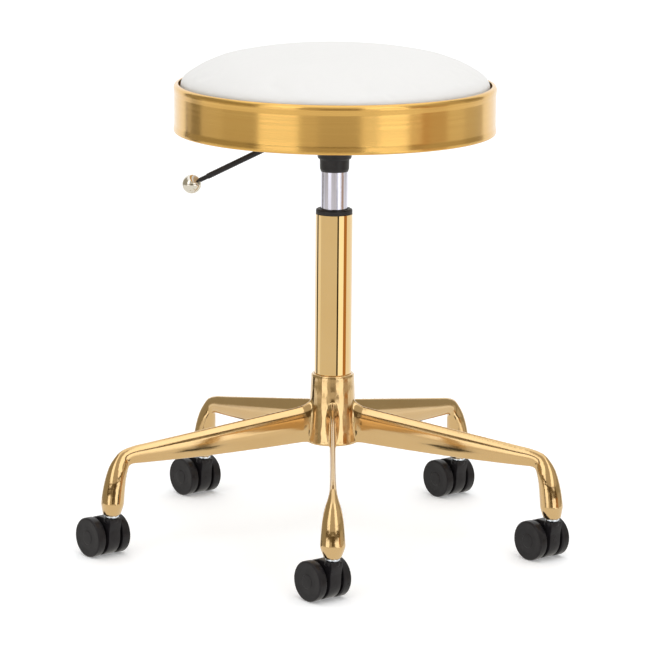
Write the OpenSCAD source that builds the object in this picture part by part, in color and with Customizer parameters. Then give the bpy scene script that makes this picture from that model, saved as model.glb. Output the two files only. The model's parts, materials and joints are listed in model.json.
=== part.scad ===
// Pedicure stool: low gas-lift stool with a domed round cushion in a metal band,
// a five-arm star base and five twin-wheel casters.
// Millimetres, +Z up, origin on the floor under the column's axis.

/* [Seat] */
// Outside diameter of the metal band at its lips
band_d = 336; // [280:2:400]
// Height of the metal band
band_h = 50; // [42:0.5:70]
// Depth of the waist between the band's two lips
band_waist = 0.7; // [0:0.1:3]
// Sheet thickness of the band
band_t = 1.2; // [0.8:0.1:2]
// Outside radius of the band's rolled-in top edge
band_roll = 4; // [2.5:0.1:4.8]
// Width of the band's inward flange under the seat
flange_w = 18; // [12:1:30]
// Gap between the band and the cushion
band_gap = 4.4; // [4:0.1:8]
// Rise of the cushion's crown above the top of the band
crown_h = 38; // [20:1:70]
// Thickness of the seat board
board_t = 12; // [9:1:18]
// Thickness of the upholstery cover
cover_t = 1.2; // [0.8:0.1:2]
// Width of the cover's turned-under hem
hem_w = 28; // [20:1:40]

/* [Height] */
// Height of the band's lower edge above the floor at the lowest setting
seat_z = 440; // [430:0.5:460]
// Travel of the gas lift
lift_travel = 120; // [80:5:140]

/* [Gas lift] */
// Outside diameter of the gas cylinder
cyl_d = 28; // [24:0.5:34]
// Length of the gas cylinder beyond the lift's travel
cyl_guide_len = 125; // [115:1:130]
// Length of the tapered top that seats in the lift plate
taper_len = 23; // [18:1:30]
// How much the taper shrinks the cylinder's diameter
taper_drop = 1.6; // [0.8:0.1:2.4]
// Outside diameter of the column tube
tube_d = 39; // [36:0.5:50]
// Wall of the column tube
tube_t = 1.5; // [1:0.1:2.5]
// Height of the column tube's top above the floor
tube_top_z = 353; // [340:1:360]
// Height of the guide bush's visible rim
rim_h = 5.5; // [3:0.5:10]
// Length of the guide bush inside the tube
bush_len = 75; // [50:5:90]
// Diameter of the piston rod
rod_d = 10; // [8:0.5:12]

/* [Lever] */
// Diameter of the release lever's rod
lever_d = 6; // [5:0.5:8]
// Droop of the lever below level, degrees
lever_droop = 26.3; // [10:0.1:40]
// Distance of the ball's centre from the column's axis
knob_reach = 149; // [110:1:160]
// Diameter of the ball knob
knob_d = 20; // [15:1:30]
// Distance from the column's axis to the lever's pivot
pivot_x = 34; // [30:1:38]

/* [Base] */
// Radius of the circle through the caster stems
base_r = 241.5; // [210:0.5:290]
// Wall of the hub round the column tube at its top rim
hub_wall = 3.3; // [3:0.1:8]
// How much the hub widens from its top rim to its foot
hub_flare = 4.1; // [3:0.1:8]
// Height of the hub's foot above the floor
hub_low_z = 108.5; // [100:0.5:116]
// Height of the hub
hub_h = 74.5; // [60:0.5:90]
// Thickness of an arm's blade
arm_w = 8; // [6:0.5:12]
// Depth of an arm at the hub
arm_hub_h = 40.5; // [30:0.5:44]
// Depth of an arm where it turns down
arm_end_h = 18.4; // [15:0.2:26]
// Fall of an arm's ridge from the hub to the turn
arm_fall = 33.5; // [15:0.5:40]
// Width of a leg across the arm at its fullest
leg_w = 26; // [22:0.5:34]
// Width of a leg at its tip
leg_tip_w = 17.6; // [16:0.2:22]

/* [Casters] */
// Diameter of a caster wheel
wheel_d = 42; // [36:1:51]
// Width of one wheel
wheel_w = 11.4; // [9:0.2:14]
// Width of the caster body between the wheels
body_w = 14.4; // [13:0.2:18]
// Gap between the body and each wheel
wheel_gap = 1.9; // [1:0.1:3]
// Distance from the stem to the axle
trail = 15; // [13:0.5:20]
// Diameter of the stem in the leg
stem_d = 11; // [10:0.5:12]
// Diameter of the axle
axle_d = 6; // [5:0.5:8]
// Heading of the casters, degrees from +X
heading = 130; // [0:1:359]

/* [Fits] */
// Radial clearance of a part that turns or slides in another
run_gap = 0.06; // [0.02:0.01:0.1]
// Clearance between parts that are pressed or screwed together
seat_gap = 0.03; // [0.01:0.01:0.05]

/* [Hidden] */
$fn = 96;

// Colours
gold = [0.83, 0.66, 0.36];
black = [0.12, 0.12, 0.12];
steel = [0.74, 0.74, 0.77];
zinc = [0.82, 0.86, 0.92];
white = [0.95, 0.95, 0.94];

// Seat stack
band_r = band_d / 2;
band_top_z = seat_z + band_h;
flange_lift = 1.6;
hem_z = seat_z + flange_lift + band_t;
board_z = hem_z + cover_t;
cushion_r = band_r - band_waist - band_t - band_gap;
foam_r = cushion_r - cover_t;
foam_z = board_z + board_t;
board_r = foam_r - 1.5;
shoulder_z = band_top_z - 2;
crown_b = band_top_z + crown_h - shoulder_z;
crown_steps = 14;
screw_r = board_r - 7;
screw_count = 6;
staple_count = 24;
nut_flange_r = 9;
nut_flange_t = 1.2;

// Lift plate and gas cylinder
plate_t = 2.5;
plate_w = 140;
plate_z = board_z - plate_t;
bolt_pitch = 114;
bolt_d = 6;
nut_r = bolt_d / 2 + 1.3;
channel_h = 21;
channel_z = plate_z - channel_h;
channel_w = 44;
channel_x0 = -pivot_x - 14;
channel_x1 = 30;
cyl_top_z = channel_z + 2;
cyl_len = lift_travel + cyl_guide_len;
cyl_z = cyl_top_z - cyl_len;
cyl_wall = 2;
cyl_cap_t = 12;
gland_h = 14;
socket_r = cyl_d / 2 + 1.5;
socket_len = taper_len;
collar_r = socket_r + 2.4;
collar_h = 9.1;
valve_d = 4;

// Lever
lever_z = channel_z + 10.5;
lever_x1 = 6;
bend_r = 15;
bend_swell = 0.3;
bend_x = pivot_x + 18;
knob_drop = (knob_reach - bend_x) * tan(lever_droop);
knob_z = lever_z - knob_drop;
sleeve_d = 10;
pin_d = 5;

// Column
tube_r = tube_d / 2;
bore_r = tube_r - tube_t;
end_plate_z = hub_low_z + 5.5;
end_plate_t = 3;
race_t = 1.5;
ball_d = 3.4;
ball_gap = 0.3;
ball_count = 14;
race_z = end_plate_z + end_plate_t;
upper_race_z = race_z + race_t + ball_d + 2 * ball_gap;
race_r = 13;
ball_ring_r = (race_r + rod_d / 2) / 2 + 0.6;
bumper_h = 20;
rod_top_z = cyl_top_z - cyl_cap_t - 14;
piston_h = 8;

// Casters
collar_top_gap = 3.6;
leg_tip_z = wheel_d + collar_top_gap;
stem_flange_h = 2.9;
body_top_z = leg_tip_z - stem_flange_h - 0.3;
pivot_d = 8;
axle_z = wheel_d / 2;
wheel_face = 2;
wheel_y = body_w / 2 + wheel_gap;
housing_r = body_w / 2 + 1;
housing_h = 5;
throat_r = pivot_d / 2 + 1.4;
stem_depth = 24;

hub_top_r = tube_r + hub_wall;
hub_low_r = hub_top_r + hub_flare;

// Arms: the ridge runs straight from the hub to the turn, and the belly sweeps up to it
hub_r = hub_top_r + 1.5;
turn_r = base_r - 19.5;
ridge_hub_z = hub_low_z + 42;
belly_hub_z = ridge_hub_z - arm_hub_h;
ridge_end_z = ridge_hub_z - arm_fall;
belly_end_z = ridge_end_z - arm_end_h;
leg_h = ridge_end_z - leg_tip_z;
belly_sweep = 1.6;
function span(r) = (r - hub_r) / (turn_r - hub_r);
function ridge(r) = ridge_hub_z - arm_fall * span(r);
function belly(r) = belly_end_z + (belly_hub_z - belly_end_z) * pow(1 - span(r), belly_sweep);

// A station is [ridge r, ridge z, belly r, belly z, width, roundness]
function blade(r, lift, w) = [r, ridge(r) + lift, r, belly(r) - lift / 3, w, 2.2];
function leg(out, out_f, inn, in_f, w, n) =
    [base_r + out, leg_tip_z + leg_h * out_f, base_r - inn, leg_tip_z + leg_h * in_f, w, n];
stations = [
    blade(hub_r - 9, 7, arm_w + 9),
    blade(hub_r - 2, 5.5, arm_w + 6.5),
    blade(hub_r + 2, 3, arm_w + 3),
    blade(hub_r + 7, 0.9, arm_w + 1),
    blade(hub_r + 15, 0, arm_w + 0.4),
    blade(hub_r + (turn_r - hub_r) * 0.3, 0, arm_w),
    blade(hub_r + (turn_r - hub_r) * 0.6, 0, arm_w),
    blade(turn_r - 20, 0, arm_w),
    blade(turn_r - 5, 0, arm_w),
    leg(-11, 0.95, 19.9, 0.722, arm_w + 1, 2.2),
    leg(-3.4, 0.845, 18.6, 0.7, arm_w + 4.5, 2.1),
    leg(2.6, 0.71, 17.2, 0.645, leg_w * 0.68, 2.1),
    leg(7.2, 0.51, 15.2, 0.51, leg_w * 0.86, 2),
    leg(9.9, 0.325, 13.9, 0.325, leg_w * 0.95, 2),
    leg(11, 0.2, 13.2, 0.2, leg_w * 0.995, 2),
    leg(11.1, 0.165, 13, 0.165, leg_w, 2),
    leg(10.5, 0.12, 12.2, 0.12, leg_w * 0.94, 2),
    leg(leg_tip_w / 2 + 0.7, 0.03, leg_tip_w / 2 + 1.3, 0.03, leg_tip_w + 1.8, 2),
    leg(leg_tip_w / 2, 0, leg_tip_w / 2, 0, leg_tip_w, 2)
];
span_steps = 2;
ring_sides = 20;

function blend(a, b, c, d, t) =
    0.5 * (2 * b + (c - a) * t + (2 * a - 5 * b + 4 * c - d) * t * t + (3 * b - a - 3 * c + d) * t * t * t);
last_key = len(stations) - 1;
function key(i) = stations[max(0, min(last_key, i))];
arm_stations = [
    for (i = [0:last_key - 1], j = [0:span_steps - 1])
        blend(key(i - 1), key(i), key(i + 1), key(i + 2), j / span_steps),
    key(last_key)
];

function power(c, n) = sign(c) * pow(abs(c), 2 / n);
// One ring of points; the blade is a little narrower at its ridge
function ring(s) = [
    for (k = [0:ring_sides - 1])
        let (
            a = 360 * k / ring_sides,
            u = power(cos(a), s[5]),
            lean = 1 - 0.16 * (s[5] - 2) * u,
            y = s[4] / 2 * power(sin(a), s[5]) * lean
        )
        [(s[0] + s[2]) / 2 + u * (s[0] - s[2]) / 2, y, (s[1] + s[3]) / 2 + u * (s[1] - s[3]) / 2]
];

module arm() {
    rings = [for (s = arm_stations) each ring(s)];
    n = ring_sides;
    count = len(arm_stations);
    sides = [
        for (i = [0:count - 2], k = [0:n - 1])
            let (k2 = (k + 1) % n)
            each [[i * n + k, i * n + k2, (i + 1) * n + k], [i * n + k2, (i + 1) * n + k2, (i + 1) * n + k]]
    ];
    first_cap = [[for (k = [n - 1:-1:0]) k]];
    last_cap = [[for (k = [0:n - 1]) (count - 1) * n + k]];
    polyhedron(rings, concat(sides, first_cap, last_cap), convexity = 6);
}

module tube(r_out, r_in, h) {
    difference() {
        cylinder(r = r_out, h = h);
        translate([0, 0, -1]) cylinder(r = r_in, h = h + 2);
    }
}

// Places children on each leg: the first leg points along -Y
module on_leg(k) {
    rotate([0, 0, 72 * (k - 1) - 90]) translate([base_r, 0, 0]) children();
}

// Places children in the frame of caster k, whose wheels trail along local +X
module at_caster(k) {
    on_leg(k) rotate([0, 0, heading - 72 * (k - 1) + 90]) children();
}

// ---- Base ----

module star_base() {
    color(gold) difference() {
        union() {
            rotate_extrude() polygon([
                [0, hub_low_z],
                [hub_low_r - 0.8, hub_low_z],
                [hub_low_r, hub_low_z + 0.8],
                [hub_low_r - 1.2, hub_low_z + hub_h * 0.18],
                [hub_top_r + 1.5, hub_low_z + hub_h * 0.5],
                [hub_top_r + 0.7, hub_low_z + hub_h * 0.78],
                [hub_top_r, hub_low_z + hub_h - 1],
                [hub_top_r - 0.8, hub_low_z + hub_h],
                [0, hub_low_z + hub_h]
            ]);
            for (k = [1:5]) rotate([0, 0, 72 * (k - 1) - 90]) arm();
        }
        translate([0, 0, hub_low_z - 5]) cylinder(r = tube_r + seat_gap, h = hub_h + 10);
        for (k = [1:5]) on_leg(k)
            translate([0, 0, leg_tip_z - 1]) cylinder(d = stem_d + 2 * seat_gap, h = stem_depth + 2);
    }
}

module column_tube() {
    color(gold) translate([0, 0, hub_low_z]) tube(tube_r, bore_r, tube_top_z - hub_low_z);
}

module guide_bush() {
    color(black) difference() {
        union() {
            translate([0, 0, tube_top_z - bush_len])
                cylinder(r = bore_r - seat_gap, h = bush_len + 1);
            translate([0, 0, tube_top_z + seat_gap]) {
                cylinder(r = tube_r - 0.3, h = rim_h - 1.2);
                translate([0, 0, rim_h - 1.2]) cylinder(r1 = tube_r - 0.3, r2 = tube_r - 1.4, h = 1.2);
            }
        }
        translate([0, 0, tube_top_z - bush_len - 1])
            cylinder(r = cyl_d / 2 + run_gap, h = bush_len + rim_h + 3);
    }
}

module column_end_plate() {
    color(steel) translate([0, 0, end_plate_z])
        tube(bore_r - seat_gap, rod_d / 2 + run_gap, end_plate_t);
}

module bearing_lower_race() {
    color(steel) translate([0, 0, race_z]) tube(race_r, rod_d / 2 + run_gap, race_t);
}

// ---- Rod ----

module piston_rod() {
    color(steel) difference() {
        translate([0, 0, hub_low_z + 0.5]) cylinder(d = rod_d, h = rod_top_z - hub_low_z - 0.5);
        translate([0, 0, end_plate_z - 2.2]) tube(rod_d, rod_d / 2 - 1.2, 1.4);
    }
}

module piston() {
    color(black) translate([0, 0, rod_top_z]) cylinder(r = cyl_d / 2 - cyl_wall - run_gap, h = piston_h);
}

module rod_clip() {
    color(steel) translate([0, 0, end_plate_z - 2.1]) difference() {
        tube(rod_d / 2 + 3, rod_d / 2 - 1.2 + seat_gap, 1.2);
        translate([0, 0, -1]) rotate([0, 0, 45]) cube([rod_d, rod_d, 4]);
    }
}

module bearing_balls() {
    color(steel) for (k = [0:ball_count - 1])
        rotate([0, 0, 360 * k / ball_count])
            translate([ball_ring_r, 0, race_z + race_t + ball_gap + ball_d / 2]) sphere(d = ball_d);
}

module bearing_upper_race() {
    color(steel) translate([0, 0, upper_race_z]) tube(race_r, rod_d / 2 + seat_gap, race_t);
}

module rubber_bumper() {
    color(black) translate([0, 0, upper_race_z + race_t]) tube(race_r - 1, rod_d / 2 + seat_gap, bumper_h);
}

// ---- Seat ----

module gas_cylinder() {
    top_r = (cyl_d - taper_drop) / 2;
    color(steel) difference() {
        union() {
            translate([0, 0, cyl_z]) cylinder(d = cyl_d, h = cyl_len - taper_len);
            translate([0, 0, cyl_top_z - taper_len]) cylinder(r1 = cyl_d / 2, r2 = top_r, h = taper_len);
        }
        translate([0, 0, cyl_z - 1]) cylinder(r = cyl_d / 2 - cyl_wall, h = cyl_len - cyl_cap_t + 1);
        translate([0, 0, cyl_top_z - cyl_cap_t - 1]) cylinder(d = valve_d + 2 * run_gap, h = cyl_cap_t + 2);
    }
}

module rod_gland() {
    color(black) translate([0, 0, cyl_z])
        tube(cyl_d / 2 - cyl_wall - seat_gap, rod_d / 2 + run_gap, gland_h);
}

module lift_plate() {
    top_r = (cyl_d - taper_drop) / 2 + seat_gap;
    low_r = cyl_d / 2 + seat_gap;
    color(black) difference() {
        union() {
            translate([-plate_w / 2, -plate_w / 2, plate_z]) cube([plate_w, plate_w, plate_t]);
            translate([channel_x0, -channel_w / 2, channel_z])
                cube([channel_x1 - channel_x0, channel_w, channel_h + 0.5]);
            translate([0, 0, channel_z - collar_h]) cylinder(r = collar_r, h = collar_h + 0.5);
            translate([0, 0, cyl_top_z - socket_len - 1.5]) {
                cylinder(r1 = socket_r - 0.8, r2 = socket_r, h = 3);
                translate([0, 0, 3]) cylinder(r = socket_r, h = socket_len - 3);
            }
        }
        translate([channel_x0 - 1, -channel_w / 2 + plate_t, channel_z + 2.5])
            cube([channel_x1 - channel_x0 + 2, channel_w - 2 * plate_t, channel_h - 2.5]);
        translate([0, 0, cyl_top_z - taper_len - 3]) cylinder(r = low_r, h = 3);
        translate([0, 0, cyl_top_z - taper_len]) cylinder(r1 = low_r, r2 = top_r, h = taper_len);
        translate([0, 0, cyl_top_z]) cylinder(r = top_r, h = 3);
        for (x = [-1, 1], y = [-1, 1])
            translate([x * bolt_pitch / 2, y * bolt_pitch / 2, plate_z - 1])
                cylinder(d = bolt_d + 2 * seat_gap, h = plate_t + 2);
        translate([-pivot_x, -channel_w, lever_z]) rotate([-90, 0, 0])
            cylinder(d = pin_d + 2 * seat_gap, h = 2 * channel_w);
    }
}

module lever_pin() {
    color(steel) translate([-pivot_x, 0, lever_z]) rotate([-90, 0, 0]) {
        translate([0, 0, -channel_w / 2 - 1.5]) cylinder(d = pin_d, h = channel_w + 3);
        for (s = [-1, 1])
            translate([0, 0, s * (channel_w / 2 + 1.5) - 0.9]) cylinder(d = pin_d + 3, h = 1.8);
    }
}

module seat_board() {
    color([0.8, 0.66, 0.46]) difference() {
        translate([0, 0, board_z]) cylinder(r = board_r, h = board_t);
        for (x = [-1, 1], y = [-1, 1])
            translate([x * bolt_pitch / 2, y * bolt_pitch / 2, 0]) {
                translate([0, 0, board_z - 1]) cylinder(r = nut_r + seat_gap, h = board_t + 2);
                translate([0, 0, foam_z - nut_flange_t])
                    cylinder(r = nut_flange_r + seat_gap, h = nut_flange_t + 1);
            }
        for (k = [0:screw_count - 1]) rotate([0, 0, 360 * (k + 0.5) / screw_count])
            translate([screw_r, 0, board_z - 1]) cylinder(d = 3 + 2 * seat_gap, h = 9 + 2 * seat_gap);
    }
}

// Dome profile from the rim up to the crown, inset by d
function dome(d) = [
    for (i = [0:crown_steps])
        let (a = 90 * i / crown_steps)
        [(cushion_r - d) * cos(a), shoulder_z + (crown_b - d) * sin(a)]
];

module foam_pad() {
    color([0.93, 0.9, 0.78]) rotate_extrude()
        polygon(concat([[0, foam_z], [foam_r, foam_z]], dome(cover_t)));
}

module seat_cover() {
    hem_r = cushion_r - hem_w;
    color(white) difference() {
        rotate_extrude() polygon(concat(
            [[hem_r, hem_z], [cushion_r - 1.5, hem_z], [cushion_r, hem_z + 1.5]],
            dome(0),
            [for (i = [crown_steps:-1:0]) dome(cover_t)[i]],
            [[foam_r, board_z], [hem_r, board_z]]
        ));
        for (k = [0:screw_count - 1]) rotate([0, 0, 360 * (k + 0.5) / screw_count])
            translate([screw_r, 0, hem_z - 1]) cylinder(d = 3 + 2 * seat_gap, h = cover_t + 2);
    }
}

// A point of the band's rolled top edge, r from the roll's centre, a degrees above level
function roll(r, a) = [band_r - band_roll + r * cos(a), band_top_z - band_roll + r * sin(a)];

// The band's section: rolled lips at both edges, a waist between, a flange below
module trim_ring() {
    out = band_r;
    waist = out - band_waist;
    inn = waist - band_t;
    fl_z = hem_z - band_t;
    color(gold) difference() {
        rotate_extrude() polygon([
            [out - flange_w, fl_z],
            [inn - 0.6, fl_z],
            [out - 2.6, seat_z],
            [out - 1, seat_z + 0.2],
            [out - 0.15, seat_z + 1],
            [out, seat_z + 2.4],
            [waist, seat_z + 8],
            [waist, band_top_z - band_roll - 4],
            for (a = [0:10:90]) roll(band_roll, a),
            for (a = [90:-15:0]) roll(band_roll - band_t, a),
            [inn, band_top_z - band_roll - 4],
            [inn, hem_z + 0.6],
            [inn - 0.6, hem_z],
            [out - flange_w, hem_z]
        ]);
        for (k = [0:screw_count - 1]) rotate([0, 0, 360 * (k + 0.5) / screw_count])
            translate([screw_r, 0, fl_z - 1]) cylinder(d = 3 + 2 * seat_gap, h = band_t + 2);
    }
}

module ring_screws() {
    head_z = hem_z - band_t;
    color(steel) for (k = [0:screw_count - 1]) rotate([0, 0, 360 * (k + 0.5) / screw_count])
        translate([screw_r, 0, 0]) difference() {
            union() {
                translate([0, 0, head_z - 1.8]) cylinder(r1 = 2, r2 = 3.2, h = 1.8);
                translate([0, 0, head_z - 0.1]) cylinder(d = 3, h = band_t + cover_t + 7.8);
            }
            for (a = [0, 90])
                translate([0, 0, head_z - 1.8]) rotate([0, 0, a]) cube([2.8, 0.7, 1.8], center = true);
        }
}

module tee_nuts() {
    color(steel) for (x = [-1, 1], y = [-1, 1])
        translate([x * bolt_pitch / 2, y * bolt_pitch / 2, 0]) {
            translate([0, 0, board_z + 2]) tube(nut_r, bolt_d / 2 + seat_gap, board_t - 2);
            translate([0, 0, foam_z - nut_flange_t]) tube(nut_flange_r, bolt_d / 2 + seat_gap, nut_flange_t);
        }
}

module plate_bolts() {
    color(steel) for (x = [-1, 1], y = [-1, 1])
        translate([x * bolt_pitch / 2, y * bolt_pitch / 2, 0]) {
            translate([0, 0, plate_z - 4]) cylinder(d = 11.5, h = 4, $fn = 6);
            translate([0, 0, plate_z - 0.5]) cylinder(d = bolt_d, h = board_t + plate_t);
        }
}

module cover_staples() {
    staple_r = cushion_r - hem_w + 7;
    color(steel) for (k = [0:staple_count - 1]) rotate([0, 0, 360 * k / staple_count])
        translate([staple_r, 0, hem_z - 0.6]) {
            translate([-0.5, -5, 0]) cube([1, 10, 0.6]);
        }
}

// ---- Lever ----

module lever_rod() {
    knob_run = knob_reach - bend_x;
    tangent = bend_r * tan(lever_droop / 2);
    slope_len = knob_run / cos(lever_droop);
    thin_len = knob_d / 2 + 8;
    thin_d = lever_d - 1.2;
    color(black) difference() {
        union() {
            translate([-bend_x + tangent - 1, 0, lever_z]) rotate([0, 90, 0])
                cylinder(d = lever_d, h = bend_x - tangent + 1 + lever_x1);
            translate([-bend_x + tangent, 0, lever_z - bend_r]) rotate([90, 0, 0])
                rotate_extrude(angle = lever_droop, start = 90)
                    translate([bend_r, 0]) circle(d = lever_d + bend_swell);
            translate([-bend_x, 0, lever_z]) rotate([0, -90 - lever_droop, 0]) {
                translate([0, 0, tangent - 1]) cylinder(d = lever_d, h = slope_len - tangent + 1 - thin_len);
                translate([0, 0, slope_len - thin_len - 2]) cylinder(d = thin_d, h = thin_len + 2);
            }
            translate([-pivot_x, -channel_w / 2 + plate_t + 0.5, lever_z]) rotate([-90, 0, 0])
                cylinder(d = sleeve_d, h = channel_w - 2 * plate_t - 1);
        }
        translate([-pivot_x, -channel_w / 2, lever_z]) rotate([-90, 0, 0])
            cylinder(d = pin_d + 2 * run_gap, h = channel_w);
    }
}

module lever_knob() {
    color([0.86, 0.84, 0.78]) difference() {
        translate([-knob_reach, 0, knob_z]) sphere(d = knob_d);
        translate([-knob_reach, 0, knob_z]) rotate([0, 90 - lever_droop, 0])
            cylinder(d = lever_d - 1.2 + 2 * seat_gap, h = knob_d);
    }
}

module valve_pin() {
    foot_z = cyl_top_z - cyl_cap_t - 1.5;
    ball_z = lever_z - lever_d / 2 - 0.3 - valve_d / 2;
    color(steel) {
        translate([0, 0, foot_z]) cylinder(d = valve_d, h = ball_z - foot_z);
        translate([0, 0, ball_z]) sphere(d = valve_d);
    }
}

// ---- Casters ----

module caster_stem(k) {
    color(zinc) on_leg(k) {
        translate([0, 0, leg_tip_z]) cylinder(d = stem_d, h = stem_depth - 1);
        translate([0, 0, leg_tip_z + stem_depth - 1]) cylinder(d1 = stem_d, d2 = stem_d - 2, h = 1);
        translate([0, 0, leg_tip_z - stem_flange_h]) cylinder(d = leg_tip_w - 1.1, h = stem_flange_h);
        translate([0, 0, axle_z + axle_d / 2]) cylinder(d = pivot_d, h = leg_tip_z - axle_z - axle_d / 2);
    }
}

module caster_body(k) {
    web_r = wheel_d / 2 - 0.5;
    color(black) at_caster(k) difference() {
        union() {
            rotate([90, 0, 0]) translate([0, 0, -body_w / 2]) linear_extrude(body_w) {
                translate([trail, axle_z]) circle(r = web_r);
                polygon([
                    [-throat_r, axle_z],
                    [-throat_r - 0.5, axle_z + 8],
                    [-housing_r + 0.6, body_top_z - housing_h],
                    [-housing_r + 0.6, body_top_z],
                    [trail, body_top_z],
                    [trail, axle_z]
                ]);
            }
            translate([0, 0, body_top_z - housing_h]) cylinder(r = housing_r, h = housing_h);
        }
        translate([0, 0, axle_z + axle_d / 2 - 0.5])
            cylinder(d = pivot_d + 2 * run_gap, h = body_top_z);
        translate([trail, body_w, axle_z]) rotate([90, 0, 0])
            cylinder(d = axle_d + 2 * seat_gap, h = 2 * body_w);
    }
}

module caster_axle(k) {
    reach = wheel_y + wheel_w - wheel_face - 0.5;
    color(steel) at_caster(k) translate([trail, reach, axle_z]) rotate([90, 0, 0])
        cylinder(d = axle_d, h = 2 * reach);
}

// One wheel: a solid disc with a bevelled face and a blind bore from its inner side
module wheel(side) {
    r = wheel_d / 2;
    bevel = 2;
    color(black) translate([trail, side * wheel_y, axle_z]) rotate([-90 * side, 0, 0]) difference() {
        rotate_extrude() polygon([
            [0, 0], [r - 6, 0], [r - 5, 1.4], [r - 1.2, 1.4], [r, 2.4], [r, wheel_w - bevel],
            [r - 0.6, wheel_w - 0.9], [r - bevel, wheel_w], [0, wheel_w]
        ]);
        translate([0, 0, -1]) cylinder(d = axle_d + 2 * run_gap, h = wheel_w - wheel_face + 1);
    }
}

module wheel_outer(k) {
    at_caster(k) wheel(1);
}

module wheel_inner(k) {
    at_caster(k) wheel(-1);
}

star_base();
column_tube();
guide_bush();
column_end_plate();
bearing_lower_race();
piston_rod();
piston();
rod_clip();
bearing_balls();
bearing_upper_race();
rubber_bumper();
gas_cylinder();
rod_gland();
lift_plate();
lever_pin();
seat_board();
foam_pad();
seat_cover();
trim_ring();
ring_screws();
tee_nuts();
plate_bolts();
cover_staples();
lever_rod();
lever_knob();
valve_pin();
for (k = [1:5]) {
    caster_stem(k);
    caster_body(k);
    caster_axle(k);
    wheel_outer(k);
    wheel_inner(k);
}
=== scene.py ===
"""Looks of the pedicure stool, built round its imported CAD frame. Metres, +Z up."""

import json
import math

import bmesh
import bpy
from mathutils import Matrix, Vector


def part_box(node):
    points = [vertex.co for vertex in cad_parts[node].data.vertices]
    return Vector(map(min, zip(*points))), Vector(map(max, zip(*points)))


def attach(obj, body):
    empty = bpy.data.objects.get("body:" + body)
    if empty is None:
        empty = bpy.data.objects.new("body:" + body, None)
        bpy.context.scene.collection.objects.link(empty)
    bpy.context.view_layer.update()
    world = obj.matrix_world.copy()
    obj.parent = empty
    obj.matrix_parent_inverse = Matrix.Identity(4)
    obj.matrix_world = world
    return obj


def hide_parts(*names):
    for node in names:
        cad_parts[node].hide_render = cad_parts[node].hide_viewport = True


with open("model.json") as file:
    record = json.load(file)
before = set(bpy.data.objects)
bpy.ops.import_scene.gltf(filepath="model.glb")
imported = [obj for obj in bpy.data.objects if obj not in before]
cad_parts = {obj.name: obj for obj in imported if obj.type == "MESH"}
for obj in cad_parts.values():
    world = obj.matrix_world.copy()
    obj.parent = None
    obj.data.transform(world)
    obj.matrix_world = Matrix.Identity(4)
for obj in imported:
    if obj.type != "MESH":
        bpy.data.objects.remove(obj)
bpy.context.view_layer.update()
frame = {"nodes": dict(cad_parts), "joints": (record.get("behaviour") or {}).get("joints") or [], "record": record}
MM = 0.001
WELD = 0.001 * MM
EDGE_SHARP = 50
CASTERS = range(1, 6)
JOINTS = {j["name"]: j for j in frame["joints"]}


# ---- Places taken from the frame ----

def low(node):
    """The lowest corner of a CAD node's box."""
    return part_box(node)[0]


def high(node):
    """The highest corner of a CAD node's box."""
    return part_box(node)[1]


def width(node):
    """A CAD node's size along X."""
    return high(node).x - low(node).x


# ---- Mesh helpers ----

def new_object(name, bm, sharp=40):
    """Links a mesh built in bm, smooth except where its faces meet at more than sharp degrees."""
    mesh = bpy.data.meshes.new(name)
    bmesh.ops.remove_doubles(bm, verts=bm.verts, dist=WELD)
    bmesh.ops.recalc_face_normals(bm, faces=bm.faces)
    for face in bm.faces:
        face.smooth = True
    bm.to_mesh(mesh)
    bm.free()
    mesh.set_sharp_from_angle(angle=math.radians(sharp))
    obj = bpy.data.objects.new(name, mesh)
    bpy.context.scene.collection.objects.link(obj)
    return obj


def rounded(points, steps=5):
    """Rounds the corners of an outline. A point is (r, z) or (r, z, corner radius).

    A corner takes up less than half of the stretch on either side of it.
    """
    most = 0.49
    out = []
    count = len(points)
    for i, point in enumerate(points):
        here = Vector(point[:2])
        radius = point[2] if len(point) > 2 else 0
        back = Vector(points[i - 1][:2]) - here
        ahead = Vector(points[(i + 1) % count][:2]) - here
        if radius <= 0 or back.length < WELD or ahead.length < WELD:
            out.append(here)
            continue
        half = back.angle(ahead) / 2
        reach = min(radius / math.tan(half), back.length * most, ahead.length * most)
        radius = reach * math.tan(half)
        start = here + back.normalized() * reach
        centre = here + (back.normalized() + ahead.normalized()).normalized() * radius / math.sin(half)
        end = here + ahead.normalized() * reach
        for k in range(steps + 1):
            chord = start.lerp(end, k / steps) - centre
            out.append(centre + chord.normalized() * radius)
    return out


def add_lathe(bm, outline, segments=128, place=Matrix.Identity(4)):
    """Turns a closed (r, z) outline about Z and adds it to bm."""
    rings = []
    for r, z in outline:
        if r < WELD:
            rings.append([bm.verts.new(place @ Vector((0, 0, z)))])
            continue
        ring = []
        for k in range(segments):
            a = 2 * math.pi * k / segments
            ring.append(bm.verts.new(place @ Vector((r * math.cos(a), r * math.sin(a), z))))
        rings.append(ring)
    for i, ring in enumerate(rings):
        other = rings[(i + 1) % len(rings)]
        if len(ring) == 1 and len(other) == 1:
            continue
        for k in range(segments):
            k2 = (k + 1) % segments
            corners = [ring[k % len(ring)], ring[k2 % len(ring)]]
            corners += [other[k2 % len(other)], other[k % len(other)]]
            unique = list(dict.fromkeys(corners))
            if len(unique) > 2:
                bm.faces.new(unique)


def lathe(name, outline, segments=128, place=Matrix.Identity(4), sharp=40):
    """Makes an object of its own from a turned outline."""
    bm = bmesh.new()
    add_lathe(bm, outline, segments, place)
    return new_object(name, bm, sharp)


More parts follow.
